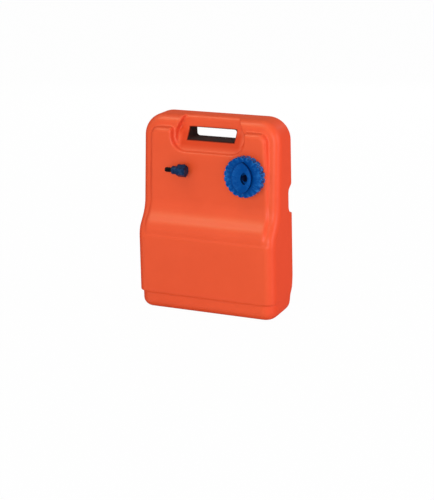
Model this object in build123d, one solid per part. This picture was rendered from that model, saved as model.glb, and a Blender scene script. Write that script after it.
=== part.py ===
from build123d import *
import os
from math import sqrt

# Upright portable fuel tank, millimetres. +Z is up, the front face looks towards -Y and the
# origin is on the ground under the middle of the moulded body.

# Moulded shell, overall
TANK_HEIGHT = 399.0
TANK_WIDTH = 305.0
TANK_DRAFT = 3.0
TANK_DEPTH = 116.0
WALL = 3.2
EDGE_RADIUS = 18.0
BACK_EDGE_RADIUS = 21.0
TOP_CORNER_RADIUS = 46.0
TANK_TOP_WIDTH = TANK_WIDTH - TANK_DRAFT

# How near an edge must lie to a face to be picked, and how far joined forms run into each other
PICK = 0.5
OVERLAP = 1.0

# Foot, lower box and the thin ledge above it
FOOT_HEIGHT = 35.0
FOOT_INSET = 2.5
FOOT_CORNER_RADIUS = 26.0
FOOT_EDGE_RADIUS = 18.0
LEDGE_DROP = 243.5
LEDGE_HEIGHT = TANK_HEIGHT - LEDGE_DROP
LEDGE_STEP = 2.0
LEDGE_EDGE_RADIUS = 1.2

# Waist above the ledge, and upper front
WAIST_START = 12.5
WAIST_RISE = 39.0
WAIST_LOW = LEDGE_HEIGHT + WAIST_START
WAIST_HIGH = WAIST_LOW + WAIST_RISE
WAIST_LOW_RADIUS = 42.0
WAIST_HIGH_RADIUS = 62.0
UPPER_SETBACK = 29.5
UPPER_LEAN = 15.0

# Raised pad on the upper front
PAD_RISE = 1.5
PAD_TOP_DROP = 24.0
PAD_TOP_MARGIN = 25.0
PAD_LOW_MARGIN = 16.0
PAD_WAIST_START = 21.0
PAD_WAIST_RISE = 32.5
PAD_TOP = TANK_HEIGHT - PAD_TOP_DROP
PAD_TOP_WIDTH = TANK_WIDTH - 2 * PAD_TOP_MARGIN
PAD_LOW_WIDTH = TANK_WIDTH - 2 * PAD_LOW_MARGIN
PAD_WAIST_LOW = LEDGE_HEIGHT + PAD_WAIST_START
PAD_WAIST_HIGH = PAD_WAIST_LOW + PAD_WAIST_RISE
PAD_CORNER_RADIUS = 18.0
PAD_EDGE_RADIUS = 9.0
PAD_FRONT_MARGIN = 0.6

# Handle: a pocket in front, one behind and the hand slot between them
GRIP_SETBACK = 30.5
GRIP_BACK_SETBACK = 22.0
GRIP_FRONT = UPPER_SETBACK + GRIP_SETBACK - TANK_DEPTH / 2
GRIP_BACK = TANK_DEPTH / 2 - GRIP_BACK_SETBACK
POCKET_WIDTH = 160.0
POCKET_DROP = 70.0
POCKET_LOW = TANK_HEIGHT - POCKET_DROP
POCKET_SILL = 6.0
POCKET_SLOPE_RISE = 44.0
POCKET_CORNER_RADIUS = 30.0
RECESS_WIDTH = 150.0
RECESS_TOP_WIDTH = 120.0
RECESS_SHOULDER_DROP = 29.0
RECESS_SHOULDER = TANK_HEIGHT - RECESS_SHOULDER_DROP
RECESS_CORNER_RADIUS = 16.0
BACK_POCKET_WIDTH = 142.0
BACK_SLOPE_RISE = 20.0
BACK_CEILING_DROP = 22.0
BACK_CEILING_RISE = 12.0
BACK_CEILING = TANK_HEIGHT - BACK_CEILING_DROP
POCKET_EDGE_RADIUS = 4.0
SLOT_WIDTH = 102.0
SLOT_DROP = 48.0
SLOT_LOW = TANK_HEIGHT - SLOT_DROP
SLOT_HEIGHT = 22.5
SLOT_CORNER_RADIUS = 5.0
SLOT_EDGE_RADIUS = 3.0
GRIP_EDGE_RADIUS = 9.0
GRIP_CREST = 0.3

# Strap groove across the back
GROOVE_DROP = 198.0
GROOVE_LOW = TANK_HEIGHT - GROOVE_DROP
GROOVE_HEIGHT = 65.0
GROOVE_DEPTH = 30.0
GROOVE_FLARE = 9.0
GROOVE_RADIUS = 13.0

# Filler neck and its thread
NECK_MARGIN = 66.0
NECK_DROP = 108.0
NECK_X = TANK_WIDTH / 2 - NECK_MARGIN
NECK_Z = TANK_HEIGHT - NECK_DROP
NECK_RADIUS = 31.0
NECK_BORE_RADIUS = 27.0
NECK_HEIGHT = 15.0
THREAD_PITCH = 4.0
THREAD_TURNS = 2.0
THREAD_START = 2.6
THREAD_DEPTH = 2.0
THREAD_ROOT_HALF = 1.05
THREAD_TIP_HALF = 0.55
THREAD_CLEARANCE = 0.6
THREAD_SINK = 0.4

# Fuel outlet boss
OUTLET_MARGIN = 100.0
OUTLET_DROP = 105.5
OUTLET_X = OUTLET_MARGIN - TANK_WIDTH / 2
OUTLET_Z = TANK_HEIGHT - OUTLET_DROP
BOSS_RADIUS = 12.0
BOSS_DEPTH = 12.0
SHANK_RADIUS = 7.0
FIT_CLEARANCE = 0.05

# Filler cap, in heights above the pad
CAP_RADIUS = 41.0
CAP_GAP = 2.0
CAP_ROOF = 2.6
CAP_EDGE_RADIUS = 1.2
TOOTH_COUNT = 20
TOOTH_GROOVE_RADIUS = 2.6
GASKET_THICKNESS = 1.6
GASKET_CLEARANCE = 0.4
CAP_GRIP_HEIGHT = 8.0
CAP_GRIP_LENGTH = 64.0
CAP_GRIP_WIDTH = 43.0
CAP_GRIP_TURN = -3.0
CAP_GRIP_EDGE_RADIUS = 1.5

# Vent screw beside the middle of the cap, in a round well with an oval mouth
VENT_OFFSET = 6.5
VENT_MOUTH_LENGTH = 25.0
VENT_MOUTH_WIDTH = 15.5
VENT_MOUTH_DEPTH = 7.0
VENT_WELL_RADIUS = 7.6
VENT_WELL_DEPTH = 9.0
VENT_HEAD_RADIUS = 6.4
VENT_HEAD_HEIGHT = 2.0
VENT_WING_LENGTH = 11.0
VENT_WING_WIDTH = 2.4
VENT_WING_HEIGHT = 4.0
VENT_STEM_RADIUS = 3.0
VENT_TIP_LENGTH = 1.5
VENT_SEAL_RADIUS = 5.6
VENT_SEAL_THICKNESS = 1.8
VENT_HOLE_CLEARANCE = 0.3

# Fuel outlet: flange and hexagon on the tank, with a stub to the left
OUTLET_GASKET_THICKNESS = 1.5
OUTLET_FLANGE_RADIUS = 9.5
OUTLET_FLANGE_HEIGHT = 3.0
HEX_ACROSS_FLATS = 22.0
HEX_LENGTH = 19.0
HEX_CHAMFER = 1.2
HEX_GAP = 0.6
HEX_OFFSET = 4.2
STUB_RADIUS = 6.5
STUB_LENGTH = 6.0
PASSAGE_RADIUS = 3.0
COLLAR_RADIUS = 8.4
COLLAR_END_WALL = 2.0
COLLAR_GAP = 0.5
BARB_FLANGE_THICKNESS = 2.0
BARB_SEAL_THICKNESS = 1.0
BARB_RADIUS = 4.2
BARB_CREST_RADIUS = 4.9
BARB_LENGTH = 18.2
BARB_COUNT = 3
BARB_LAND = 1.2
BARB_BORE_RADIUS = 2.6

# Pick-up tube and strainer inside the tank
TUBE_RADIUS = 4.5
TUBE_WALL = 1.2
TUBE_BEND_RADIUS = 14.0
TUBE_REACH = 34.0
TUBE_SOCKET_DEPTH = 8.0
STRAINER_RADIUS = 9.0
STRAINER_WALL = 1.5
STRAINER_LENGTH = 42.0
STRAINER_FLOOR_GAP = 5.0
STRAINER_SLOT_ROWS = 5
STRAINER_SLOT_COUNT = 10
STRAINER_SLOT_WIDTH = 1.6
STRAINER_SLOT_HEIGHT = 4.0
PLUG_THICKNESS = 2.0
TUBE_OVERLAP = 12.0


def outline_face(points, radii):
    return make_face(FilletPolyline(*points, radius=radii, close=True))


def side_prism(points, radii, half_width):
    """Solid with a rounded outline in the Y-Z plane, run to both sides in X."""
    return extrude(Plane.YZ * outline_face(points, radii), amount=half_width, both=True)


def front_prism(points, radii, half_depth):
    """Solid with a rounded outline in the X-Z plane, run both ways in Y."""
    return extrude(Plane.XZ * outline_face(points, radii), amount=half_depth, both=True)


def half_width_at(height):
    """Half width of the drafted side walls at a height."""
    return (TANK_WIDTH + (TANK_TOP_WIDTH - TANK_WIDTH) * height / TANK_HEIGHT) / 2


def strip_y(height):
    """Front of the upper body beside the pad, which leans back towards the top."""
    rise = (height - WAIST_HIGH) / (TANK_HEIGHT - WAIST_HIGH)
    return UPPER_SETBACK + UPPER_LEAN * rise - TANK_DEPTH / 2


def shell_form(inset, low):
    """Waist and upper body over the lower box, shrunk by inset, with soft edges."""
    back = TANK_DEPTH / 2 - inset
    front = -TANK_DEPTH / 2 + LEDGE_STEP + inset
    top = TANK_HEIGHT - inset
    profile = [
        (front, low),
        (front, WAIST_LOW),
        (strip_y(WAIST_HIGH) + inset, WAIST_HIGH),
        (strip_y(2 * TANK_HEIGHT) + inset, 2 * TANK_HEIGHT),
        (back, 2 * TANK_HEIGHT),
        (back, low),
    ]
    waist = [WAIST_LOW_RADIUS - inset, WAIST_HIGH_RADIUS + inset]
    side = side_prism(profile, [0, *waist, 0, 0, 0], TANK_WIDTH)
    half_low = half_width_at(low) - inset
    half_top = half_width_at(TANK_HEIGHT) - inset
    outline = [(-half_low, low), (half_low, low), (half_top, top), (-half_top, top)]
    corner = TOP_CORNER_RADIUS - inset
    solid = side & front_prism(outline, [0, 0, corner, corner], TANK_DEPTH)
    rim_back = strip_y(TANK_HEIGHT) + inset + PICK
    front_rims = [e for e in solid.edges() if e.center().Y < rim_back and is_rim(e, low, top)]
    solid = fillet(front_rims, EDGE_RADIUS - inset)
    back_rims = [e for e in solid.edges() if e.bounding_box().min.Y > back - PICK and is_rim(e, low, top)]
    return fillet(back_rims, BACK_EDGE_RADIUS - inset)


def is_rim(edge, low, top):
    """True for an edge along a side wall or the top, not one across the front or around the foot."""
    box = edge.bounding_box()
    crosses = box.min.X < 0 < box.max.X
    return box.max.Z > low + PICK and (not crosses or box.min.Z > top - PICK)


PAD_Y = UPPER_SETBACK - PAD_RISE - TANK_DEPTH / 2


def pad_form(inset):
    """Raised front pad, from the ledge over the waist to the shoulder, with soft front edges."""
    front = -TANK_DEPTH / 2 + LEDGE_STEP - PAD_FRONT_MARGIN + inset
    face = PAD_Y + inset
    low = LEDGE_HEIGHT - OVERLAP + inset
    high = 2 * TANK_HEIGHT
    profile = [
        (front, low),
        (front, PAD_WAIST_LOW - inset),
        (face, PAD_WAIST_HIGH - inset),
        (face, high),
        (0, high),
        (0, low),
    ]
    waist = [WAIST_LOW_RADIUS - inset, WAIST_HIGH_RADIUS + inset]
    side = side_prism(profile, [0, *waist, 0, 0, 0], TANK_WIDTH)
    top = PAD_TOP - inset
    half_low = PAD_LOW_WIDTH / 2 - inset
    half_top = PAD_TOP_WIDTH / 2 - inset
    corner = PAD_CORNER_RADIUS - inset
    outline = [(-half_low, low), (half_low, low), (half_top, top), (-half_top, top)]
    solid = side & front_prism(outline, [0, 0, corner, corner], TANK_DEPTH)
    rims = [e for e in solid.edges() if e.bounding_box().max.Y < -PICK and is_rim(e, low, top)]
    return fillet(rims, PAD_EDGE_RADIUS - inset)


def pocket_window(half_low, half_top, shoulder, low, radii):
    """Prism through the tank with the front outline of a pocket that runs out over the top."""
    high = 2 * TANK_HEIGHT
    outline = [
        (-half_low, low),
        (half_low, low),
        (half_low, shoulder),
        (half_top, TANK_HEIGHT),
        (half_top, high),
        (-half_top, high),
        (-half_top, TANK_HEIGHT),
        (-half_low, shoulder),
    ]
    return front_prism(outline, radii, TANK_DEPTH)


def pocket_space(grow):
    """Space in front of the pocket's sloped floor and of the grip, grown by grow."""
    far = TANK_DEPTH
    high = 2 * TANK_HEIGHT
    low = POCKET_LOW - grow
    sill = PAD_Y + POCKET_SILL + grow
    slope = POCKET_SLOPE_RISE / (GRIP_FRONT - PAD_Y - POCKET_SILL)
    wall = GRIP_FRONT + grow
    wall_low = low + slope * (wall - sill)
    crest = TANK_HEIGHT + GRIP_CREST
    points = [
        (-far, low),
        (sill, low),
        (wall, wall_low),
        (wall, crest),
        (far, crest),
        (far, high),
        (-far, high),
    ]
    return side_prism(points, [0, 0, 0, GRIP_EDGE_RADIUS, 0, 0, 0], TANK_WIDTH)


def pad_pocket(grow):
    """Wide pocket in the pad alone, grown by grow."""
    half = POCKET_WIDTH / 2 + grow
    corner = POCKET_CORNER_RADIUS + grow
    plain = [corner, corner, 0, 0, 0, 0, 0, 0]
    return pocket_space(grow) & pocket_window(half, half, RECESS_SHOULDER, POCKET_LOW - grow, plain)


def handle_cut(grow):
    """Recess in front of the grip, back pocket and hand slot, all grown by grow."""
    far = TANK_DEPTH
    low = POCKET_LOW - grow
    half_recess = RECESS_WIDTH / 2 + grow
    half_back = BACK_POCKET_WIDTH / 2 + grow
    corner = POCKET_CORNER_RADIUS + grow
    bend = RECESS_CORNER_RADIUS
    plain = [corner, corner, 0, 0, 0, 0, 0, 0]
    bent = [corner, corner, bend, bend, 0, 0, bend, bend]
    recess_window = pocket_window(half_recess, RECESS_TOP_WIDTH / 2 + grow, RECESS_SHOULDER, low, bent)
    grip_back = GRIP_BACK - grow
    back_face = TANK_DEPTH / 2 - grow
    ceiling = BACK_CEILING + grow
    back = [
        (far, low),
        (back_face, low),
        (grip_back, POCKET_LOW + BACK_SLOPE_RISE),
        (grip_back, ceiling),
        (back_face, ceiling + BACK_CEILING_RISE),
        (far, ceiling + BACK_CEILING_RISE),
    ]
    back_window = pocket_window(half_back, half_back, RECESS_SHOULDER, low, plain)
    pockets = pocket_space(grow) & recess_window
    pockets += side_prism(back, 0, TANK_WIDTH) & back_window
    slot = RectangleRounded(SLOT_WIDTH + 2 * grow, SLOT_HEIGHT + 2 * grow, SLOT_CORNER_RADIUS + grow)
    slot_at = Plane.XZ * Pos(0, SLOT_LOW + SLOT_HEIGHT / 2) * slot
    return pockets + extrude(slot_at, amount=far, both=True)


def spans(edge, half_width, low, high):
    """True for an edge that stays between the two heights and within the half width."""
    box = edge.bounding_box()
    in_width = max(-box.min.X, box.max.X) < half_width + PICK
    return in_width and box.min.Z > low - PICK and box.max.Z < high + PICK


def soften_handle(solid):
    """Round the slot's two mouths and the pocket's rim on the pad."""
    slot_edges = [e for e in solid.edges() if spans(e, SLOT_WIDTH / 2, SLOT_LOW, SLOT_LOW + SLOT_HEIGHT)]
    mouths = [e for e in slot_edges if max(e.bounding_box().size.X, e.bounding_box().size.Z) > PICK]
    solid = fillet(mouths, SLOT_EDGE_RADIUS)
    half_pocket = POCKET_WIDTH / 2
    pocket_rim = []
    for edge in solid.edges():
        box = edge.bounding_box()
        on_pad = max(abs(box.min.Y - PAD_Y), abs(box.max.Y - PAD_Y)) < PICK
        if on_pad and spans(edge, half_pocket, POCKET_LOW, PAD_TOP):
            pocket_rim.append(edge)
    return fillet(pocket_rim, POCKET_EDGE_RADIUS)


def groove_cut(grow):
    """Strap groove across the back, grown by grow."""
    back = TANK_DEPTH / 2
    floor = back - GROOVE_DEPTH - grow
    low = GROOVE_LOW - grow
    high = GROOVE_LOW + GROOVE_HEIGHT + grow
    points = [
        (back + GROOVE_DEPTH, low - GROOVE_FLARE),
        (floor, low + GROOVE_FLARE),
        (floor, high - GROOVE_FLARE),
        (back + GROOVE_DEPTH, high + GROOVE_FLARE),
    ]
    return side_prism(points, [0, GROOVE_RADIUS, GROOVE_RADIUS, 0], TANK_WIDTH)


def foot_form(inset):
    """Foot of the tank: a rounded box that stands in from the walls."""
    width = TANK_WIDTH - 2 * FOOT_INSET - 2 * inset
    depth = TANK_DEPTH - 2 * FOOT_INSET - 2 * inset
    plan = RectangleRounded(width, depth, FOOT_CORNER_RADIUS - inset)
    block = Pos(0, 0, inset) * extrude(plan, amount=FOOT_HEIGHT + OVERLAP - inset)
    return fillet(block.edges().group_by(Axis.Z)[0], FOOT_EDGE_RADIUS - inset)


def lower_front():
    """Front of the lower box, which stands proud of the waist by the ledge."""
    half_low = half_width_at(FOOT_HEIGHT)
    half_high = half_width_at(LEDGE_HEIGHT)
    outline = [
        (-half_low, FOOT_HEIGHT),
        (half_low, FOOT_HEIGHT),
        (half_high, LEDGE_HEIGHT),
        (-half_high, LEDGE_HEIGHT),
    ]
    slab = extrude(Plane.XZ * make_face(Polyline(*outline, close=True)), amount=TANK_DEPTH / 2)
    front_edges = [e for e in slab.edges() if e.center().Y < -PICK]
    uprights = [e for e in front_edges if e.bounding_box().size.Z > LEDGE_STEP]
    slab = fillet([e for e in uprights if e.bounding_box().size.Y < PICK], EDGE_RADIUS + LEDGE_STEP)
    front_edges = [e for e in slab.edges() if e.bounding_box().max.Y < -PICK]
    return fillet([e for e in front_edges if e.bounding_box().size.Z < PICK], LEDGE_EDGE_RADIUS)


def front_plane(x, z):
    """Plane on the pad with its local Z pointing out of the tank and its local Y up."""
    return Plane(origin=(x, PAD_Y, z), x_dir=(1, 0, 0), z_dir=(0, -1, 0))


def tube(radius, bore, low, high):
    """Plain ring about the local Z axis."""
    ring = Circle(radius) - Circle(bore)
    return Pos(0, 0, low) * extrude(ring, amount=high - low)


def thread_ridge(root_radius, tip_radius, start):
    """One helical thread ridge about the local Z axis, from its root to its tip radius."""
    height = THREAD_PITCH * THREAD_TURNS
    path = Helix(pitch=THREAD_PITCH, height=height, radius=root_radius, center=(0, 0, start))
    sink = THREAD_SINK if tip_radius > root_radius else -THREAD_SINK
    section = [
        (root_radius - sink, start - THREAD_ROOT_HALF),
        (tip_radius, start - THREAD_TIP_HALF),
        (tip_radius, start + THREAD_TIP_HALF),
        (root_radius - sink, start + THREAD_ROOT_HALF),
    ]
    return sweep(Plane.XZ * make_face(Polyline(*section, close=True)), path=path, is_frenet=True)


def make_tank():
    outer = shell_form(0, FOOT_HEIGHT) + lower_front() + foot_form(0) + (pad_form(0) - pad_pocket(0))
    outer = soften_handle(outer - handle_cut(0))
    outer -= groove_cut(0)
    hollow = shell_form(WALL, FOOT_HEIGHT) + foot_form(WALL) + (pad_form(WALL) - pad_pocket(WALL))
    hollow -= handle_cut(WALL)
    hollow -= groove_cut(WALL)
    neck = front_plane(NECK_X, NECK_Z)
    boss = front_plane(OUTLET_X, OUTLET_Z)
    body = outer - hollow
    body += boss * Pos(0, 0, -BOSS_DEPTH) * extrude(Circle(BOSS_RADIUS), amount=BOSS_DEPTH - WALL / 2)
    body += neck * Pos(0, 0, -WALL / 2) * extrude(Circle(NECK_RADIUS), amount=NECK_HEIGHT + WALL / 2)
    body += neck * thread_ridge(NECK_RADIUS, NECK_RADIUS + THREAD_DEPTH, THREAD_START)
    body -= neck * Pos(0, 0, -2 * WALL) * extrude(Circle(NECK_BORE_RADIUS), amount=NECK_HEIGHT + 4 * WALL)
    body -= boss * Pos(0, 0, -2 * BOSS_DEPTH) * extrude(Circle(SHANK_RADIUS), amount=3 * BOSS_DEPTH)
    return body


# Heights above the pad that the cap and its vent share
CAP_INNER_ROOF = NECK_HEIGHT + GASKET_THICKNESS
CAP_FACE = CAP_INNER_ROOF + CAP_ROOF
CAP_BORE_RADIUS = NECK_RADIUS + THREAD_DEPTH + THREAD_CLEARANCE
VENT_FLOOR = CAP_FACE + CAP_GRIP_HEIGHT - VENT_WELL_DEPTH
VENT_HEAD_LOW = VENT_FLOOR + VENT_SEAL_THICKNESS
VENT_HOLE_RADIUS = VENT_STEM_RADIUS + VENT_HOLE_CLEARANCE


def lens(length, width):
    """Pointed oval of two equal arcs, long way along local Y."""
    radius = (length**2 + width**2) / (4 * width)
    offset = radius - width / 2
    return (Pos(-offset, 0) * Circle(radius)) & (Pos(offset, 0) * Circle(radius))


def make_cap():
    disc = Pos(0, 0, CAP_GAP) * extrude(Circle(CAP_RADIUS), amount=CAP_FACE - CAP_GAP)
    disc = fillet(disc.edges().group_by(Axis.Z)[-1], CAP_EDGE_RADIUS)
    groove = extrude(Circle(TOOTH_GROOVE_RADIUS), amount=CAP_FACE)
    disc -= [place * groove for place in PolarLocations(CAP_RADIUS, TOOTH_COUNT)]
    oval = Rot(0, 0, CAP_GRIP_TURN) * lens(CAP_GRIP_LENGTH, CAP_GRIP_WIDTH)
    grip = Pos(0, 0, CAP_FACE - OVERLAP) * extrude(oval, amount=CAP_GRIP_HEIGHT + OVERLAP)
    grip = fillet(grip.edges().group_by(Axis.Z)[-1], CAP_GRIP_EDGE_RADIUS)
    cap = disc + grip
    cap -= Pos(0, 0, CAP_GAP) * extrude(Circle(CAP_BORE_RADIUS), amount=CAP_INNER_ROOF - CAP_GAP)
    mouth = Rot(0, 0, CAP_GRIP_TURN) * lens(VENT_MOUTH_LENGTH, VENT_MOUTH_WIDTH)
    mouth_floor = CAP_FACE + CAP_GRIP_HEIGHT - VENT_MOUTH_DEPTH
    cap -= Pos(VENT_OFFSET, 0, mouth_floor) * extrude(mouth, amount=VENT_WELL_DEPTH)
    cap -= Pos(VENT_OFFSET, 0, VENT_FLOOR) * extrude(Circle(VENT_WELL_RADIUS), amount=VENT_WELL_DEPTH)
    cap -= Pos(VENT_OFFSET, 0) * extrude(Circle(VENT_HOLE_RADIUS), amount=VENT_FLOOR + OVERLAP)
    start = THREAD_START + THREAD_PITCH / 2
    cap += thread_ridge(CAP_BORE_RADIUS, NECK_RADIUS + THREAD_CLEARANCE, start)
    return front_plane(NECK_X, NECK_Z) * cap


def make_cap_gasket():
    ring = tube(CAP_BORE_RADIUS - GASKET_CLEARANCE, NECK_BORE_RADIUS, NECK_HEIGHT, CAP_INNER_ROOF)
    return front_plane(NECK_X, NECK_Z) * ring


def make_vent_seal():
    ring = tube(VENT_SEAL_RADIUS, VENT_HOLE_RADIUS, VENT_FLOOR, VENT_HEAD_LOW)
    return front_plane(NECK_X + VENT_OFFSET, NECK_Z) * ring


def make_vent_screw():
    head = Pos(0, 0, VENT_HEAD_LOW) * extrude(Circle(VENT_HEAD_RADIUS), amount=VENT_HEAD_HEIGHT)
    stem_low = CAP_INNER_ROOF - VENT_TIP_LENGTH
    stem = Pos(0, 0, stem_low) * extrude(Circle(VENT_STEM_RADIUS), amount=VENT_HEAD_LOW - stem_low + OVERLAP)
    stem = chamfer(stem.edges().group_by(Axis.Z)[0], VENT_STEM_RADIUS / 3)
    wing = Rot(0, 0, CAP_GRIP_TURN) * SlotOverall(VENT_WING_LENGTH, VENT_WING_WIDTH, rotation=90)
    wing_low = VENT_HEAD_LOW + VENT_HEAD_HEIGHT / 2
    blade = Pos(0, 0, wing_low) * extrude(wing, amount=VENT_WING_HEIGHT + VENT_HEAD_HEIGHT / 2)
    blade = fillet(blade.edges().group_by(Axis.Z)[-1], VENT_WING_WIDTH / 4)
    return front_plane(NECK_X + VENT_OFFSET, NECK_Z) * (head + stem + blade)


# Outlet: heights above the pad, and lengths along the stub from the middle of the hexagon
FLANGE_TOP = OUTLET_GASKET_THICKNESS + OUTLET_FLANGE_HEIGHT
HEX_CENTRE = FLANGE_TOP + HEX_GAP + HEX_ACROSS_FLATS / 2
SHANK_END = -BOSS_DEPTH - TUBE_SOCKET_DEPTH / 2
STUB_END = HEX_LENGTH / 2 + STUB_LENGTH
SEAL_END = STUB_END + BARB_SEAL_THICKNESS
BARB_FLANGE_END = SEAL_END + BARB_FLANGE_THICKNESS
COLLAR_BORE_RADIUS = STUB_RADIUS + FIT_CLEARANCE
OUTLET_PLANE = front_plane(OUTLET_X, OUTLET_Z)
HEX_PLACE = (OUTLET_X + HEX_OFFSET, PAD_Y - HEX_CENTRE, OUTLET_Z)
STUB_PLANE = Plane(origin=HEX_PLACE, x_dir=(0, -1, 0), z_dir=(-1, 0, 0))


def make_outlet_gasket():
    return OUTLET_PLANE * tube(OUTLET_FLANGE_RADIUS, SHANK_RADIUS, 0, OUTLET_GASKET_THICKNESS)


def make_outlet_body():
    flange = OUTLET_PLANE * Pos(0, 0, OUTLET_GASKET_THICKNESS) * extrude(
        Circle(OUTLET_FLANGE_RADIUS), amount=OUTLET_FLANGE_HEIGHT
    )
    shank = OUTLET_PLANE * Pos(0, 0, SHANK_END) * extrude(
        Circle(SHANK_RADIUS - FIT_CLEARANCE), amount=FLANGE_TOP + HEX_GAP + OVERLAP - SHANK_END
    )
    hexagon = RegularPolygon(HEX_ACROSS_FLATS / 2, 6, major_radius=False, rotation=0)
    block = Pos(0, 0, -HEX_LENGTH / 2) * extrude(hexagon, amount=HEX_LENGTH)
    ends = block.edges().group_by(Axis.Z)
    block = chamfer(ends[0] + ends[-1], HEX_CHAMFER)
    stub = extrude(Circle(STUB_RADIUS), amount=STUB_END)
    body = flange + shank + STUB_PLANE * Rot(0, 0, 90) * (block + stub)
    passage = Circle(PASSAGE_RADIUS)
    socket = Circle(TUBE_RADIUS + FIT_CLEARANCE)
    body -= OUTLET_PLANE * Pos(0, 0, SHANK_END) * extrude(passage, amount=HEX_CENTRE - SHANK_END)
    body -= STUB_PLANE * Pos(0, 0, HEX_OFFSET) * extrude(passage, amount=STUB_END - HEX_OFFSET)
    return body - OUTLET_PLANE * Pos(0, 0, SHANK_END) * extrude(socket, amount=TUBE_SOCKET_DEPTH)


def make_barb_seal():
    return STUB_PLANE * tube(STUB_RADIUS - FIT_CLEARANCE, PASSAGE_RADIUS, STUB_END, SEAL_END)


def make_outlet_collar():
    low = HEX_LENGTH / 2 + COLLAR_GAP
    sleeve = tube(COLLAR_RADIUS, COLLAR_BORE_RADIUS, low, BARB_FLANGE_END)
    high = BARB_FLANGE_END + COLLAR_END_WALL
    end_wall = tube(COLLAR_RADIUS, BARB_RADIUS + FIT_CLEARANCE, BARB_FLANGE_END, high)
    return STUB_PLANE * (sleeve + end_wall)


def make_hose_barb():
    tip = BARB_FLANGE_END + BARB_LENGTH
    first = BARB_FLANGE_END + COLLAR_END_WALL + 2 * BARB_LAND
    step = (tip - first) / BARB_COUNT
    profile = [
        (BARB_BORE_RADIUS, SEAL_END),
        (STUB_RADIUS - FIT_CLEARANCE, SEAL_END),
        (STUB_RADIUS - FIT_CLEARANCE, BARB_FLANGE_END),
        (BARB_RADIUS, BARB_FLANGE_END),
        (BARB_RADIUS, first),
    ]
    for number in range(BARB_COUNT):
        low = first + number * step
        profile.append((BARB_CREST_RADIUS, low))
        profile.append((BARB_CREST_RADIUS, low + BARB_LAND))
        profile.append((BARB_RADIUS, low + step))
    profile.append((BARB_BORE_RADIUS, tip))
    section = Plane.XZ * make_face(Polyline(*profile, close=True))
    return STUB_PLANE * revolve(section, Axis.Z)


# Pick-up: the tube turns down inside the tank and ends in the strainer
TUBE_Y = PAD_Y + TUBE_REACH
PLUG_LOW = WALL + STRAINER_FLOOR_GAP
STRAINER_LOW = PLUG_LOW + PLUG_THICKNESS
STRAINER_HIGH = STRAINER_LOW + STRAINER_LENGTH
STRAINER_BORE_RADIUS = STRAINER_RADIUS - STRAINER_WALL


def make_pickup_tube():
    start_y = PAD_Y - SHANK_END - TUBE_SOCKET_DEPTH
    start = (OUTLET_X, start_y, OUTLET_Z)
    bend = (OUTLET_X, TUBE_Y, OUTLET_Z)
    end = (OUTLET_X, TUBE_Y, STRAINER_HIGH - TUBE_OVERLAP)
    path = FilletPolyline(start, bend, end, radius=TUBE_BEND_RADIUS)
    ring = Circle(TUBE_RADIUS) - Circle(TUBE_RADIUS - TUBE_WALL)
    return sweep(Plane(origin=start, z_dir=(0, 1, 0)) * ring, path=path)


def make_strainer():
    socket = TUBE_RADIUS + FIT_CLEARANCE
    sleeve = tube(STRAINER_RADIUS, STRAINER_BORE_RADIUS, STRAINER_LOW, STRAINER_HIGH)
    sleeve += tube(STRAINER_RADIUS - STRAINER_WALL / 2, socket, STRAINER_HIGH - TUBE_OVERLAP, STRAINER_HIGH)
    from_axis = (Align.MIN, Align.CENTER, Align.MIN)
    slot = Box(2 * STRAINER_RADIUS, STRAINER_SLOT_WIDTH, STRAINER_SLOT_HEIGHT, align=from_axis)
    open_length = STRAINER_LENGTH - TUBE_OVERLAP - 2 * STRAINER_SLOT_HEIGHT
    slots = []
    for row in range(STRAINER_SLOT_ROWS):
        height = STRAINER_LOW + STRAINER_SLOT_HEIGHT + row * open_length / STRAINER_SLOT_ROWS
        for number in range(STRAINER_SLOT_COUNT):
            turn = Rot(0, 0, 360 * number / STRAINER_SLOT_COUNT)
            slots.append(Pos(0, 0, height) * turn * slot)
    return Pos(OUTLET_X, TUBE_Y, 0) * (sleeve - slots)


def make_strainer_plug():
    plug = Pos(0, 0, PLUG_LOW) * extrude(Circle(STRAINER_RADIUS), amount=PLUG_THICKNESS)
    bore_fit = Circle(STRAINER_BORE_RADIUS - FIT_CLEARANCE)
    spigot = Pos(0, 0, STRAINER_LOW - OVERLAP) * extrude(bore_fit, amount=PLUG_THICKNESS + OVERLAP)
    return Pos(OUTLET_X, TUBE_Y, 0) * (plug + spigot)


PIECES = {
    "tank_body": make_tank,
    "filler_cap": make_cap,
    "cap_gasket": make_cap_gasket,
    "vent_screw": make_vent_screw,
    "vent_seal": make_vent_seal,
    "outlet_body": make_outlet_body,
    "outlet_gasket": make_outlet_gasket,
    "outlet_collar": make_outlet_collar,
    "barb_seal": make_barb_seal,
    "hose_barb": make_hose_barb,
    "pickup_tube": make_pickup_tube,
    "pickup_strainer": make_strainer,
    "strainer_plug": make_strainer_plug,
}

os.makedirs("parts", exist_ok=True)
for name, make in PIECES.items():
    piece = make()
    print(name, len(piece.solids()), round(piece.volume, 1), piece.is_valid)
    export_step(piece, f"parts/{name}.step")
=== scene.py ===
"""Portable fuel tank: finishes, softened mouldings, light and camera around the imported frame."""

import math

import bpy
from mathutils import Matrix, Vector


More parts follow.
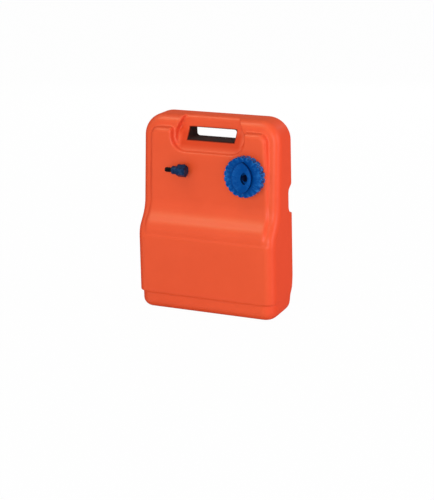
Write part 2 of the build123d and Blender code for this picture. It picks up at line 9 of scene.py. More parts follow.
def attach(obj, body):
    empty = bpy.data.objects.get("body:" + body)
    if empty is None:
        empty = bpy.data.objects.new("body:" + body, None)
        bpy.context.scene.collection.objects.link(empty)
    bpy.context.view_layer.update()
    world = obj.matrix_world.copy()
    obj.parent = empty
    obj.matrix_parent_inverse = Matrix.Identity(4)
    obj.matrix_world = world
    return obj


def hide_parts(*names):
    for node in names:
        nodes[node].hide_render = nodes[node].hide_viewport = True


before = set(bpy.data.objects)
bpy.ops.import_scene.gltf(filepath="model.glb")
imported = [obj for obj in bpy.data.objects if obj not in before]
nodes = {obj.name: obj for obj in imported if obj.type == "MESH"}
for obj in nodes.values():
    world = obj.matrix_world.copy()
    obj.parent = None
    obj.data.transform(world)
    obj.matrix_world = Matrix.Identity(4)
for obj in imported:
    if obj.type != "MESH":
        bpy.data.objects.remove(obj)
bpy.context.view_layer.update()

# Picture and camera
IMAGE_HEIGHT_PX = 500
FOCAL_PX = 1543.9
AXIS_ABOVE_MIDDLE_PX = 42
SENSOR_HEIGHT_MM = 24
CAMERA_AZIMUTH_DEG = 26.13
CAMERA_ELEVATION_DEG = 14.48
CAMERA_ROLL_DEG = -1.32
CAMERA_DISTANCE = 3.1262
CAMERA_TARGET_HEIGHT = 0.200
CAMERA_TARGET_RIGHT = 0.00443
CAMERA_TARGET_UP = 0.00965

MIDDLE = (0, 0, 0.2)

# Light
WORLD_STRENGTH = 0.30
TOP_POWER = 10
SHEEN_POWER = 15
FRONT_POWER = 22
FILL_POWER = 23.5
SIDE_POWER = 31
BACK_POWER = 32
FLOOR_SEEN_SHARE = 0.985
FLOOR_HALF_WIDTH = 6.0
TOP_PLACE = (-0.4, -0.9, 2.2)
TOP_SIZE = (1.8, 1.0)
SHEEN_PLACE = (-0.95, -1.1, 1.9)
SHEEN_SIZE = (1.2, 1.0)
SHEEN_TINT = (0.7, 1.0, 0.55)
FRONT_PLACE = (1.25, -2.35, 0.85)
FRONT_SIZE = (0.5, 1.6)
FILL_PLACE = (-0.3, -2.6, 0.8)
FILL_SIZE = (2.0, 1.6)
SIDE_PLACE = (2.4, -0.1, 0.7)
SIDE_SIZE = (1.2, 1.4)
BACK_PLACE = (-0.8, 2.3, 1.0)
BACK_SIZE = (1.8, 1.6)

# Moulded skin of the tank
SKIN_VOXEL = 0.0015
SKIN_PASSES = 10
SKIN_EASE = 0.5
FOOT_PASSES = 60
CORNER_PASSES = 300
WALL_DEEPER = 0.008
STEP_EASE_FROM_Z = (0.014, 0.024)
STEP_EASE_TO_Z = (0.058, 0.046)
STEP_EASE_FROM_Y = (-0.046, -0.034)
CORNER_EASE_FROM_X = (0.085, 0.120)
CORNER_EASE_FROM_Y = (-0.02, 0.02)
CORNER_EASE_TO_Z = (0.075, 0.045)
NECK_X = 0.0865
NECK_Z = 0.291
NECK_KEEP_RADIUS = 0.0335
NECK_KEEP_FRONT = -0.0305
SLOT_HALF_WIDTH = 0.051
SLOT_HALF_HEIGHT = 0.0112
SLOT_MIDDLE_Z = 0.3622
SLOT_RIM = 0.003
POCKET_MATT = 0.4
POCKET_SIDE_X = (0.062, 0.072)
POCKET_FRONT_Y = (-0.026, -0.016)
POCKET_LOW_Z = (0.325, 0.335)
POCKET_HIGH_Z = (0.362, 0.378)
FLANK_MATT = 0.65
# painted shade on the cap's and the outlet's sides
CAP_SIDE_SHADE_AMOUNT = 0.9
OUTLET_SIDE_SHADE_AMOUNT = 0.85
# painted shade in the hand slot
SLOT_SHADE_AMOUNT = 1.0

# Finishes, with painted shade and a painted highlight
TANK_ORANGE = (0.755, 0.084, 0.023, 1)
TANK_ORANGE_DEEP = (0.735, 0.079, 0.020, 1)
# painted shade: deeper orange on walls that face sideways
TANK_ORANGE_SIDE_SHADE = (0.710, 0.060, 0.018, 1)
# painted shade: deeper orange in the hand pocket
TANK_ORANGE_POCKET_SHADE = (0.630, 0.046, 0.006, 1)
TANK_SCUFF = (0.860, 0.150, 0.060, 1)
# painted shade: near-black on the hand slot's walls
SLOT_PAINTED_SHADE = (0.005, 0.0012, 0.0012, 1)
CAP_BLUE = (0.0002, 0.058, 0.268, 1)
CAP_BLUE_DEEP = (0.0002, 0.048, 0.230, 1)
# light blue for rubbed edges and a painted highlight along the cap's rims
CAP_SCUFF_AND_HIGHLIGHT = (0.030, 0.240, 0.680, 1)
# vent screw: the cap's blue darkened as painted shade of its deep well
VENT_BLUE_PAINTED_SHADE = (0.0005, 0.003, 0.022, 1)
VENT_BLUE_PAINTED_SHADE_DEEP = (0.0005, 0.002, 0.015, 1)
VENT_SCUFF = (0.004, 0.020, 0.080, 1)
# painted shade on the cap's and the outlet's sides and between the cap's teeth
CAP_SIDE_SHADE = (0.0002, 0.012, 0.070, 1)
OUTLET_SIDE_SHADE = (0.0020, 0.0006, 0.0030, 1)
OUTLET_NAVY = (0.0005, 0.015, 0.062, 1)
OUTLET_NAVY_DEEP = (0.0005, 0.010, 0.042, 1)
OUTLET_SCUFF = (0.025, 0.065, 0.160, 1)
BARB_BLACK = (0.002, 0.0008, 0.002, 1)
BARB_BLACK_DEEP = (0.0015, 0.0006, 0.0015, 1)
BARB_SCUFF = (0.050, 0.055, 0.065, 1)
RUBBER_BLACK = (0.014, 0.014, 0.014, 1)
RUBBER_BLACK_DEEP = (0.009, 0.009, 0.009, 1)
RUBBER_SCUFF = (0.040, 0.040, 0.040, 1)
PICKUP_WHITE = (0.680, 0.660, 0.600, 1)
PICKUP_WHITE_DEEP = (0.600, 0.580, 0.520, 1)
PICKUP_SCUFF = (0.760, 0.740, 0.700, 1)
DUST_GREY = (0.62, 0.58, 0.54, 1)
FLOOR_PALE = (0.60, 0.60, 0.60, 1)


def new_group(name, inputs, outputs):
    """An empty node group with float or colour sockets, and its input and output nodes."""
    group = bpy.data.node_groups.new(name, "ShaderNodeTree")
    for label, kind in inputs:
        group.interface.new_socket(label, in_out="INPUT", socket_type=kind)
    for label, kind in outputs:
        group.interface.new_socket(label, in_out="OUTPUT", socket_type=kind)
    entry = group.nodes.new("NodeGroupInput")
    result = group.nodes.new("NodeGroupOutput")
    return group, entry, result


FLOAT = "NodeSocketFloat"
COLOUR = "NodeSocketColor"


def noise_node(tree, scale, detail, roughness):
    """A noise texture on the object's own coordinates."""
    place = tree.nodes.new("ShaderNodeTexCoord")
    noise = tree.nodes.new("ShaderNodeTexNoise")
    noise.inputs["Detail"].default_value = detail
    noise.inputs["Roughness"].default_value = roughness
    tree.links.new(place.outputs["Object"], noise.inputs["Vector"])
    if isinstance(scale, bpy.types.NodeSocket):
        tree.links.new(scale, noise.inputs["Scale"])
    else:
        noise.inputs["Scale"].default_value = scale
    return noise


def range_node(tree, value, low, high, to_low, to_high):
    """Maps a value from one range to another, clamped."""
    node = tree.nodes.new("ShaderNodeMapRange")
    tree.links.new(value, node.inputs["Value"])
    node.inputs["From Min"].default_value = low
    node.inputs["From Max"].default_value = high
    node.inputs["To Min"].default_value = to_low
    node.inputs["To Max"].default_value = to_high
    return node.outputs["Result"]


def math_node(tree, operation, first, second):
    """A two-input math node whose inputs are sockets or numbers."""
    node = tree.nodes.new("ShaderNodeMath")
    node.operation = operation
    for slot, value in zip(node.inputs, (first, second)):
        if isinstance(value, bpy.types.NodeSocket):
            tree.links.new(value, slot)
        else:
            slot.default_value = value
    return node.outputs["Value"]


def mix_colours(tree, factor, first, second):
    """A colour mix; each input is a socket or a value."""
    node = tree.nodes.new("ShaderNodeMix")
    node.data_type = "RGBA"
    slots = [s for s in node.inputs if s.type == "RGBA"]
    pairs = ((node.inputs[0], factor), (slots[0], first), (slots[1], second))
    for slot, value in pairs:
        if isinstance(value, bpy.types.NodeSocket):
            tree.links.new(value, slot)
        else:
            slot.default_value = value
    return [s for s in node.outputs if s.type == "RGBA"][0]


def make_mould_grain():
    """Fine moulded texture, slow ripple of a cooled wall and patchy polish."""
    group, entry, result = new_group(
        "mould_grain",
        (("Grain Scale", FLOAT), ("Ripple Scale", FLOAT), ("Ripple Depth", FLOAT)),
        (("Height", FLOAT), ("Tone", FLOAT), ("Polish", FLOAT)),
    )
    grain = noise_node(group, entry.outputs["Grain Scale"], 3, 0.6)
    ripple = noise_node(group, entry.outputs["Ripple Scale"], 1, 0.4)
    patches = noise_node(group, 14, 4, 0.55)
    deep = math_node(group, "MULTIPLY", ripple.outputs["Fac"], entry.outputs["Ripple Depth"])
    height = math_node(group, "ADD", grain.outputs["Fac"], deep)
    group.links.new(height, result.inputs["Height"])
    group.links.new(patches.outputs["Fac"], result.inputs["Tone"])
    polish = math_node(group, "ADD", patches.outputs["Fac"], grain.outputs["Fac"])
    group.links.new(math_node(group, "MULTIPLY", polish, 0.5), result.inputs["Polish"])
    return group


def make_edge_wear_and_highlight():
    """Rubbed colour on raised edges, broken up by noise; with a light worn colour it is also a painted
    highlight along the edges.
    """
    group, entry, result = new_group(
        "edge_wear_and_highlight",
        (("Colour", COLOUR), ("Worn Colour", COLOUR), ("Amount", FLOAT)),
        (("Colour", COLOUR), ("Mask", FLOAT)),
    )
    shape = group.nodes.new("ShaderNodeNewGeometry")
    edge = range_node(group, shape.outputs["Pointiness"], 0.515, 0.60, 0, 1)
    breaks = noise_node(group, 160, 4, 0.6)
    patchy = range_node(group, breaks.outputs["Fac"], 0.40, 0.65, 0.15, 1)
    mask = math_node(group, "MULTIPLY", edge, patchy)
    mask = math_node(group, "MULTIPLY", mask, entry.outputs["Amount"])
    worn_and_highlit = mix_colours(group, mask, entry.outputs["Colour"], entry.outputs["Worn Colour"])
    group.links.new(worn_and_highlit, result.inputs["Colour"])
    group.links.new(mask, result.inputs["Mask"])
    return group


def make_settled_dust():
    """A thin film of dust on surfaces that face up."""
    group, entry, result = new_group(
        "settled_dust",
        (("Colour", COLOUR), ("Dust Colour", COLOUR), ("Amount", FLOAT)),
        (("Colour", COLOUR), ("Mask", FLOAT)),
    )
    shape = group.nodes.new("ShaderNodeNewGeometry")
    split = group.nodes.new("ShaderNodeSeparateXYZ")
    group.links.new(shape.outputs["Normal"], split.inputs["Vector"])
    upward = range_node(group, split.outputs["Z"], 0.35, 1.0, 0, 1)
    specks = noise_node(group, 420, 5, 0.7)
    patchy = range_node(group, specks.outputs["Fac"], 0.42, 0.72, 0, 1)
    mask = math_node(group, "MULTIPLY", upward, patchy)
    mask = math_node(group, "MULTIPLY", mask, entry.outputs["Amount"])
    dusty = mix_colours(group, mask, entry.outputs["Colour"], entry.outputs["Dust Colour"])
    group.links.new(dusty, result.inputs["Colour"])
    group.links.new(mask, result.inputs["Mask"])
    return group


def make_shaded_side():
    """Painted shade: a deeper colour on walls that face sideways, mixed in by how far the surface
    turns to the side.
    """
    group, entry, result = new_group(
        "shaded_side",
        (("Colour", COLOUR), ("Side Colour", COLOUR)),
        (("Colour", COLOUR),),
    )
    shape = group.nodes.new("ShaderNodeNewGeometry")
    split = group.nodes.new("ShaderNodeSeparateXYZ")
    group.links.new(shape.outputs["Normal"], split.inputs["Vector"])
    turned = math_node(group, "ABSOLUTE", split.outputs["X"], 0)
    share = range_node(group, turned, 0.20, 0.90, 0, 1)
    mixed = mix_colours(group, share, entry.outputs["Colour"], entry.outputs["Side Colour"])
    group.links.new(mixed, result.inputs["Colour"])
    return group


def make_pocket_shade():
    """Painted shade: a deeper colour in the hand pocket, placed by position, with its mask given out
    too.
    """
    group, entry, result = new_group(
        "pocket_shade",
        (("Colour", COLOUR), ("Pocket Colour", COLOUR)),
        (("Colour", COLOUR), ("Mask", FLOAT)),
    )
    place = group.nodes.new("ShaderNodeTexCoord")
    split = group.nodes.new("ShaderNodeSeparateXYZ")
    group.links.new(place.outputs["Object"], split.inputs["Vector"])
    across = math_node(group, "ABSOLUTE", split.outputs["X"], 0)
    within = range_node(group, across, *POCKET_SIDE_X, 1, 0)
    behind = range_node(group, split.outputs["Y"], *POCKET_FRONT_Y, 0, 1)
    above = range_node(group, split.outputs["Z"], *POCKET_LOW_Z, 0, 1)
    below = range_node(group, split.outputs["Z"], *POCKET_HIGH_Z, 1, 0)
    mask = math_node(group, "MULTIPLY", within, behind)
    mask = math_node(group, "MULTIPLY", mask, math_node(group, "MULTIPLY", above, below))
    mixed = mix_colours(group, mask, entry.outputs["Colour"], entry.outputs["Pocket Colour"])
    group.links.new(mixed, result.inputs["Colour"])
    group.links.new(mask, result.inputs["Mask"])
    return group


def make_slot_shade():
    """Painted shade: near-black colour on the walls of the hand slot, placed by position and broken up
    slightly by noise.
    """
    group, entry, result = new_group(
        "slot_painted_shade",
        (("Colour", COLOUR), ("Grime Colour", COLOUR), ("Amount", FLOAT)),
        (("Colour", COLOUR), ("Mask", FLOAT)),
    )
    place = group.nodes.new("ShaderNodeTexCoord")
    split = group.nodes.new("ShaderNodeSeparateXYZ")
    group.links.new(place.outputs["Object"], split.inputs["Vector"])
    across = math_node(group, "ABSOLUTE", split.outputs["X"], 0)
    across = math_node(group, "SUBTRACT", across, SLOT_HALF_WIDTH)
    upright = math_node(group, "SUBTRACT", split.outputs["Z"], SLOT_MIDDLE_Z)
    upright = math_node(group, "ABSOLUTE", upright, 0)
    upright = math_node(group, "SUBTRACT", upright, SLOT_HALF_HEIGHT)
    outside = math_node(group, "MAXIMUM", across, upright)
    inside = range_node(group, outside, SLOT_RIM / 4, SLOT_RIM, 1, 0)
    patches = noise_node(group, 60, 3, 0.6)
    patchy = range_node(group, patches.outputs["Fac"], 0.3, 0.7, 0.94, 1)
    mask = math_node(group, "MULTIPLY", inside, patchy)
    mask = math_node(group, "MULTIPLY", mask, entry.outputs["Amount"])
    shaded_slot = mix_colours(group, mask, entry.outputs["Colour"], entry.outputs["Grime Colour"])
    group.links.new(shaded_slot, result.inputs["Colour"])
    group.links.new(mask, result.inputs["Mask"])
    return group


def make_matt_flanks():
    """A rougher skin on the top, the side walls and the underside, where hands and straps rub."""
    group, entry, result = new_group(
        "matt_flanks",
        (("Roughness", FLOAT), ("Amount", FLOAT)),
        (("Roughness", FLOAT),),
    )
    shape = group.nodes.new("ShaderNodeNewGeometry")
    split = group.nodes.new("ShaderNodeSeparateXYZ")
    group.links.new(shape.outputs["Normal"], split.inputs["Vector"])
    turned = math_node(group, "ABSOLUTE", split.outputs["X"], 0)
    flank = range_node(group, turned, 0.70, 0.97, 0, 1)
    top = range_node(group, split.outputs["Z"], 0.60, 0.95, 0, 1)
    left = range_node(group, split.outputs["X"], -0.20, -0.50, 0, 1)
    under = range_node(group, split.outputs["Z"], -0.20, -0.50, 0, 1)
    mask = math_node(group, "MAXIMUM", flank, top)
    mask = math_node(group, "MAXIMUM", mask, math_node(group, "MAXIMUM", left, under))
    extra = math_node(group, "MULTIPLY", mask, entry.outputs["Amount"])
    total = math_node(group, "ADD", entry.outputs["Roughness"], extra)
    group.links.new(total, result.inputs["Roughness"])
    return group


def make_side_shade():
    """Painted shade: a dark colour on a fitting's sides and between its teeth, where the skin turns
    off the front.
    """
    group, entry, result = new_group(
        "fitting_side_shade",
        (("Colour", COLOUR), ("Dirt Colour", COLOUR), ("Amount", FLOAT)),
        (("Colour", COLOUR),),
    )
    shape = group.nodes.new("ShaderNodeNewGeometry")
    split = group.nodes.new("ShaderNodeSeparateXYZ")
    group.links.new(shape.outputs["Normal"], split.inputs["Vector"])
    facing = math_node(group, "ABSOLUTE", split.outputs["Y"], 0)
    turned = range_node(group, facing, 0.25, 0.65, 1, 0)
    share = math_node(group, "MULTIPLY", turned, entry.outputs["Amount"])
    mixed = mix_colours(group, share, entry.outputs["Colour"], entry.outputs["Dirt Colour"])
    group.links.new(mixed, result.inputs["Colour"])
    return group


MOULD_GRAIN = make_mould_grain()
EDGE_WEAR_AND_HIGHLIGHT = make_edge_wear_and_highlight()
SETTLED_DUST = make_settled_dust()
SHADED_SIDE = make_shaded_side()
POCKET_SHADE = make_pocket_shade()
SLOT_SHADE_GROUP = make_slot_shade()
MATT_FLANKS = make_matt_flanks()
SIDE_SHADE_GROUP = make_side_shade()


def place_group(tree, group, **values):
    """Puts a node group in a material and sets its plain inputs."""
    node = tree.nodes.new("ShaderNodeGroup")
    node.node_tree = group
    for label, value in values.items():
        node.inputs[label.replace("_", " ")].default_value = value
    return node


def moulded_finish(name, tone, deep_tone, scuff_and_highlight, rough, grain_scale, grain_depth, ripple_scale,
                   ripple_depth, wear_and_highlight, dust, specular):
    """A moulded plastic or rubber: mottled colour, patchy polish, grain, rubbed edges (on the cap also
    a painted highlight) and dust.
    """
    material = bpy.data.materials.new(name)
    material.use_nodes = True
    tree = material.node_tree
    shader = tree.nodes["Principled BSDF"]
    skin = place_group(tree, MOULD_GRAIN, Grain_Scale=grain_scale, Ripple_Scale=ripple_scale,
                       Ripple_Depth=ripple_depth)
    spread = range_node(tree, skin.outputs["Tone"], 0.35, 0.65, 0, 1)
    base = mix_colours(tree, spread, deep_tone, tone)
    # edge wear; with the cap's light edge colour it is also a painted highlight
    worn_and_highlit = place_group(tree, EDGE_WEAR_AND_HIGHLIGHT, Worn_Colour=scuff_and_highlight, Amount=wear_and_highlight)
    tree.links.new(base, worn_and_highlit.inputs["Colour"])
    dusty = place_group(tree, SETTLED_DUST, Dust_Colour=DUST_GREY, Amount=dust)
    tree.links.new(worn_and_highlit.outputs["Colour"], dusty.inputs["Colour"])
    tree.links.new(dusty.outputs["Colour"], shader.inputs["Base Color"])
    polish = range_node(tree, skin.outputs["Polish"], 0.35, 0.65, rough - 0.05, rough + 0.05)
    matt = math_node(tree, "MULTIPLY", dusty.outputs["Mask"], 0.3)
    matt = math_node(tree, "ADD", polish, matt)
    tree.links.new(matt, shader.inputs["Roughness"])
    bump = tree.nodes.new("ShaderNodeBump")
    bump.inputs["Strength"].default_value = 1.0
    bump.inputs["Distance"].default_value = grain_depth
    tree.links.new(skin.outputs["Height"], bump.inputs["Height"])
    tree.links.new(bump.outputs["Normal"], shader.inputs["Normal"])
    shader.inputs["Specular IOR Level"].default_value = specular
    return material


tank_plastic = moulded_finish("tank_plastic", TANK_ORANGE, TANK_ORANGE_DEEP, TANK_SCUFF, 0.36, 900,
                              0.00002, 22, 8.0, 0.35, 0.03, 0.28)
# the cap's light edge colour at 0.8 paints a highlight along its rims as well as wear
cap_plastic = moulded_finish("cap_plastic", CAP_BLUE, CAP_BLUE_DEEP, CAP_SCUFF_AND_HIGHLIGHT, 0.20, 1400,
                             0.00002, 40, 2.0, 0.8, 0.01, 0.035)
# the vent screw's dark colour is painted shade
vent_plastic = moulded_finish("vent_plastic", VENT_BLUE_PAINTED_SHADE, VENT_BLUE_PAINTED_SHADE_DEEP, VENT_SCUFF, 0.38, 1600,
                              0.00003, 60, 2.0, 0.5, 0.01, 0.04)
outlet_plastic = moulded_finish("outlet_plastic", OUTLET_NAVY, OUTLET_NAVY_DEEP, OUTLET_SCUFF, 0.22,
                                1600, 0.00003, 60, 2.0, 0.6, 0.01, 0.05)
barb_plastic = moulded_finish("barb_plastic", BARB_BLACK, BARB_BLACK_DEEP, BARB_SCUFF, 0.30, 1600,
                              0.00003, 60, 2.0, 0.3, 0.01, 0.05)
seal_rubber = moulded_finish("seal_rubber", RUBBER_BLACK, RUBBER_BLACK_DEEP, RUBBER_SCUFF, 0.62, 1200,
                             0.00006, 60, 1.0, 0.3, 0.05, 0.4)
pickup_plastic = moulded_finish("pickup_plastic", PICKUP_WHITE, PICKUP_WHITE_DEEP, PICKUP_SCUFF, 0.45,
                                1200, 0.00004, 40, 2.0, 0.2, 0.02, 0.45)


def shade_and_matt_tank(material):
    """Adds painted shade on the side walls, in the pocket and on the hand slot's walls, and matt
    flanks, to the tank's skin.
    """
    tree = material.node_tree
    worn_and_highlit = next(n for n in tree.nodes if n.type == "GROUP" and n.node_tree == EDGE_WEAR_AND_HIGHLIGHT)
    dusty = next(n for n in tree.nodes if n.type == "GROUP" and n.node_tree == SETTLED_DUST)
    base = worn_and_highlit.inputs["Colour"].links[0].from_socket
    # painted shade on walls that face sideways
    side = place_group(tree, SHADED_SIDE, Side_Colour=TANK_ORANGE_SIDE_SHADE)
    tree.links.new(base, side.inputs["Colour"])
    # painted shade in the hand pocket
    pocket = place_group(tree, POCKET_SHADE, Pocket_Colour=TANK_ORANGE_POCKET_SHADE)
    tree.links.new(side.outputs["Colour"], pocket.inputs["Colour"])
    tree.links.new(pocket.outputs["Colour"], worn_and_highlit.inputs["Colour"])
    shader = tree.nodes["Principled BSDF"]
    # painted shade on the hand slot's walls
    slot_shade_node = place_group(tree, SLOT_SHADE_GROUP, Grime_Colour=SLOT_PAINTED_SHADE, Amount=SLOT_SHADE_AMOUNT)
    tree.links.new(dusty.outputs["Colour"], slot_shade_node.inputs["Colour"])
    tree.links.new(slot_shade_node.outputs["Colour"], shader.inputs["Base Color"])
    polish = shader.inputs["Roughness"].links[0].from_socket
    flanks = place_group(tree, MATT_FLANKS, Amount=FLANK_MATT)
    matt = math_node(tree, "MULTIPLY", pocket.outputs["Mask"], POCKET_MATT)
    matt = math_node(tree, "MAXIMUM", matt, slot_shade_node.outputs["Mask"])
    tree.links.new(math_node(tree, "ADD", polish, matt), flanks.inputs["Roughness"])
    tree.links.new(flanks.outputs["Roughness"], shader.inputs["Roughness"])


def shade_fitting_sides(material, shade_tone, amount):
    """Puts painted shade, a dark colour, on a fitting's sides under its edge wear."""
    tree = material.node_tree
    worn_and_highlit = next(n for n in tree.nodes if n.type == "GROUP" and n.node_tree == EDGE_WEAR_AND_HIGHLIGHT)
    base = worn_and_highlit.inputs["Colour"].links[0].from_socket
    side_shade_node = place_group(tree, SIDE_SHADE_GROUP, Dirt_Colour=shade_tone, Amount=amount)
    tree.links.new(base, side_shade_node.inputs["Colour"])
    tree.links.new(side_shade_node.outputs["Colour"], worn_and_highlit.inputs["Colour"])


shade_and_matt_tank(tank_plastic)
# painted shade on the sides of the cap and the outlet
shade_fitting_sides(cap_plastic, CAP_SIDE_SHADE, CAP_SIDE_SHADE_AMOUNT)
shade_fitting_sides(outlet_plastic, OUTLET_SIDE_SHADE, OUTLET_SIDE_SHADE_AMOUNT)

NODE_FINISH = {
    "filler_cap": cap_plastic,
    "cap_gasket": seal_rubber,
    "vent_screw": vent_plastic,
    "vent_seal": seal_rubber,
    "outlet_body": outlet_plastic,
    "outlet_gasket": seal_rubber,
    "outlet_collar": outlet_plastic,
    "barb_seal": seal_rubber,
    "hose_barb": barb_plastic,
    "pickup_tube": pickup_plastic,
    "pickup_strainer": pickup_plastic,
    "strainer_plug": pickup_plastic,
    "tank_body": tank_plastic,
}
for node_name, finish in NODE_FINISH.items():
    for material_slot in nodes[node_name].material_slots:
        material_slot.material = finish


def settle(piece):
    """Applies the piece's modifiers to its mesh."""
    bpy.context.view_layer.update()
    deps = bpy.context.evaluated_depsgraph_get()
    mesh = bpy.data.meshes.new_from_object(piece.evaluated_get(deps))
    piece.modifiers.clear()
    piece.data = mesh


def even_copy(node_name, name, voxel):
    """A copy of a solid with an even skin of small faces."""
    mesh = nodes[node_name].data.copy()
    piece = bpy.data.objects.new(name, mesh)
    bpy.context.scene.collection.objects.link(piece)
    skin = piece.modifiers.new("even_skin", "REMESH")
    skin.mode = "VOXEL"
    skin.voxel_size = voxel
    skin.use_smooth_shade = True
    settle(piece)
    return piece


def ease_edges(piece, passes, share_at):
    """Rounds off the edges of a piece by share_at(point), from 0 where they stay to 1."""
    moving = piece.vertex_groups.new(name="eased")
    for vertex in piece.data.vertices:
        share = share_at(vertex.co)
        if share > 0:
            moving.add([vertex.index], share, "REPLACE")
    soft = piece.modifiers.new("eased_edges", "SMOOTH")
    soft.factor = SKIN_EASE
    soft.iterations = passes
    soft.vertex_group = moving.name
    settle(piece)
    piece.vertex_groups.clear()


def ramp(value, low, high):
    """Zero up to low, one from high on and even between them; low may lie above high."""
    return min(1.0, max(0.0, (value - low) / (high - low)))


def off_neck(point):
    """One away from the threaded neck, whose ridges stay crisp."""
    reach = math.hypot(point.x - NECK_X, point.z - NECK_Z)
    return 1.0 if reach > NECK_KEEP_RADIUS or point.y > NECK_KEEP_FRONT else 0.0


def on_foot_flank(point):
    """Most along the step above the foot at the sides and behind, where it runs out."""
    level = ramp(point.z, *STEP_EASE_FROM_Z) * ramp(point.z, *STEP_EASE_TO_Z)
    return level * ramp(point.y, *STEP_EASE_FROM_Y)


def on_back_corner(point):
    """Most on the two lower back corners, which are well rounded."""
    aside = ramp(abs(point.x), *CORNER_EASE_FROM_X)
    return aside * ramp(point.y, *CORNER_EASE_FROM_Y) * ramp(point.z, *CORNER_EASE_TO_Z)


def near_foot(point):
    """Most where the foot's step or a lower back corner is eased."""
    return max(on_foot_flank(point), on_back_corner(point))


def deepen_wall(piece, depth, share_at):
    """Moves the hidden inner skin further in, so that the eased outer skin keeps a wall behind it."""
    moves = []
    for vertex in piece.data.vertices:
        share = share_at(vertex.co)
        if share > 0 and vertex.normal.dot(vertex.co - Vector(MIDDLE)) < 0:
            moves.append((vertex, vertex.normal * depth * share))
    for vertex, move in moves:
        vertex.co += move


tank_shell = even_copy("tank_body", "tank_shell", SKIN_VOXEL)
deepen_wall(tank_shell, WALL_DEEPER, near_foot)
ease_edges(tank_shell, SKIN_PASSES, off_neck)
ease_edges(tank_shell, FOOT_PASSES, on_foot_flank)
ease_edges(tank_shell, CORNER_PASSES, on_back_corner)
tank_shell.data.materials.clear()
tank_shell.data.materials.append(tank_plastic)
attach(tank_shell, "tank")
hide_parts("tank_body")


def seen_rays(tree):
    """One for rays that the camera, a reflection or clear material sees by, and zero for light."""
    path = tree.nodes.new("ShaderNodeLightPath")
    seen = math_node(tree, "MAXIMUM", path.outputs["Is Camera Ray"], path.outputs["Is Glossy Ray"])
    return math_node(tree, "MAXIMUM", seen, path.outputs["Is Transmission Ray"])


def make_floor():
    """A wide pale floor that keeps a soft shadow."""
    half = FLOOR_HALF_WIDTH
    mesh = bpy.data.meshes.new("floor")
    corners = [(-half, -half, 0), (half, -half, 0), (half, half, 0), (-half, half, 0)]
    mesh.from_pydata(corners, [], [(0, 1, 2, 3)])
    floor = bpy.data.objects.new("floor", mesh)
    bpy.context.scene.collection.objects.link(floor)
    material = bpy.data.materials.new("pale_floor")
    material.use_nodes = True
    tree = material.node_tree
    shader = tree.nodes["Principled BSDF"]
    shader.inputs["Base Color"].default_value = FLOOR_PALE
    shader.inputs["Roughness"].default_value = 0.8
    shader.inputs["Specular IOR Level"].default_value = 0.1
    glow = tree.nodes.new("ShaderNodeEmission")
    glow.inputs["Strength"].default_value = 1.0
    share = math_node(tree, "MULTIPLY", seen_rays(tree), FLOOR_SEEN_SHARE)
    mixed = tree.nodes.new("ShaderNodeMixShader")
    tree.links.new(share, mixed.inputs["Fac"])
    tree.links.new(shader.outputs["BSDF"], mixed.inputs[1])
    tree.links.new(glow.outputs["Emission"], mixed.inputs[2])
    output = tree.nodes["Material Output"]
    tree.links.new(mixed.outputs["Shader"], output.inputs["Surface"])
    mesh.materials.append(material)


def make_world():
    """An even studio surround that the camera sees as white."""
    world = bpy.data.worlds.new("studio")
    bpy.context.scene.world = world
    world.use_nodes = True
    tree = world.node_tree
    surround = tree.nodes["Background"]
    surround.inputs["Color"].default_value = (1, 1, 1, 1)
    surround.inputs["Strength"].default_value = WORLD_STRENGTH
    white = tree.nodes.new("ShaderNodeBackground")
    white.inputs["Color"].default_value = (1, 1, 1, 1)
    white.inputs["Strength"].default_value = 1.0
    mixed = tree.nodes.new("ShaderNodeMixShader")
    tree.links.new(seen_rays(tree), mixed.inputs["Fac"])
    tree.links.new(surround.outputs["Background"], mixed.inputs[1])
    tree.links.new(white.outputs["Background"], mixed.inputs[2])
    tree.links.new(mixed.outputs["Shader"], tree.nodes["World Output"].inputs["Surface"])


def add_lamp(name, place, size, power):
    """A flat soft lamp at a place, turned to the middle of the tank."""
    data = bpy.data.lights.new(name, "AREA")
    data.shape = "RECTANGLE"
    data.size, data.size_y = size
    data.energy = power
    lamp = bpy.data.objects.new(name, data)
    lamp.location = place
    lamp.rotation_euler = (Vector(MIDDLE) - Vector(place)).to_track_quat("-Z", "Y").to_euler()
    bpy.context.scene.collection.objects.link(lamp)
    return lamp


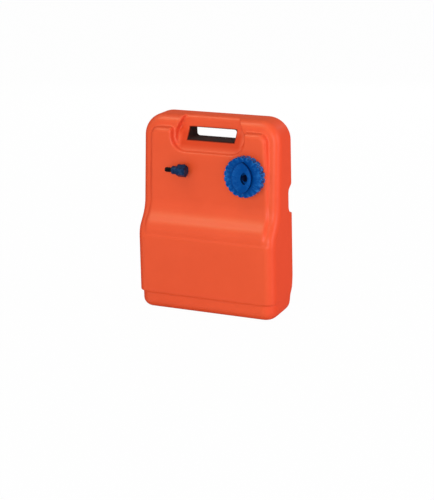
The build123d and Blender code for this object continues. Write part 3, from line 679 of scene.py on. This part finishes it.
def make_camera():
    """The camera at the photograph's viewing angle."""
    azimuth = math.radians(CAMERA_AZIMUTH_DEG)
    elevation = math.radians(CAMERA_ELEVATION_DEG)
    roll = math.radians(CAMERA_ROLL_DEG)
    level = Vector((math.cos(azimuth), math.sin(azimuth), 0))
    back = Vector((math.sin(azimuth) * math.cos(elevation), -math.cos(azimuth) * math.cos(elevation),
                   math.sin(elevation)))
    upright = back.cross(level)
    right = level * math.cos(roll) + upright * math.sin(roll)
    up = back.cross(right)
    target = Vector((0, 0, CAMERA_TARGET_HEIGHT)) + right * CAMERA_TARGET_RIGHT + up * CAMERA_TARGET_UP
    place = target + back * CAMERA_DISTANCE
    data = bpy.data.cameras.new("camera")
    data.sensor_fit = "VERTICAL"
    data.sensor_height = SENSOR_HEIGHT_MM
    data.lens = FOCAL_PX / IMAGE_HEIGHT_PX * SENSOR_HEIGHT_MM
    data.shift_y = -AXIS_ABOVE_MIDDLE_PX / IMAGE_HEIGHT_PX
    camera = bpy.data.objects.new("camera", data)
    camera.matrix_world = Matrix((
        (right.x, up.x, back.x, place.x),
        (right.y, up.y, back.y, place.y),
        (right.z, up.z, back.z, place.z),
        (0, 0, 0, 1),
    ))
    bpy.context.scene.collection.objects.link(camera)
    bpy.context.scene.camera = camera


make_floor()
make_world()
add_lamp("top_lamp", TOP_PLACE, TOP_SIZE, TOP_POWER)
sheen_lamp = add_lamp("sheen_lamp", SHEEN_PLACE, SHEEN_SIZE, SHEEN_POWER)
sheen_lamp.data.color = SHEEN_TINT
sheen_lamp.visible_diffuse = False
add_lamp("front_lamp", FRONT_PLACE, FRONT_SIZE, FRONT_POWER)
fill_lamp = add_lamp("fill_lamp", FILL_PLACE, FILL_SIZE, FILL_POWER)
fill_lamp.visible_glossy = False
add_lamp("side_lamp", SIDE_PLACE, SIDE_SIZE, SIDE_POWER)
back_lamp = add_lamp("back_lamp", BACK_PLACE, BACK_SIZE, BACK_POWER)
back_lamp.visible_glossy = False
make_camera()
bpy.context.scene.view_settings.view_transform = "Standard"
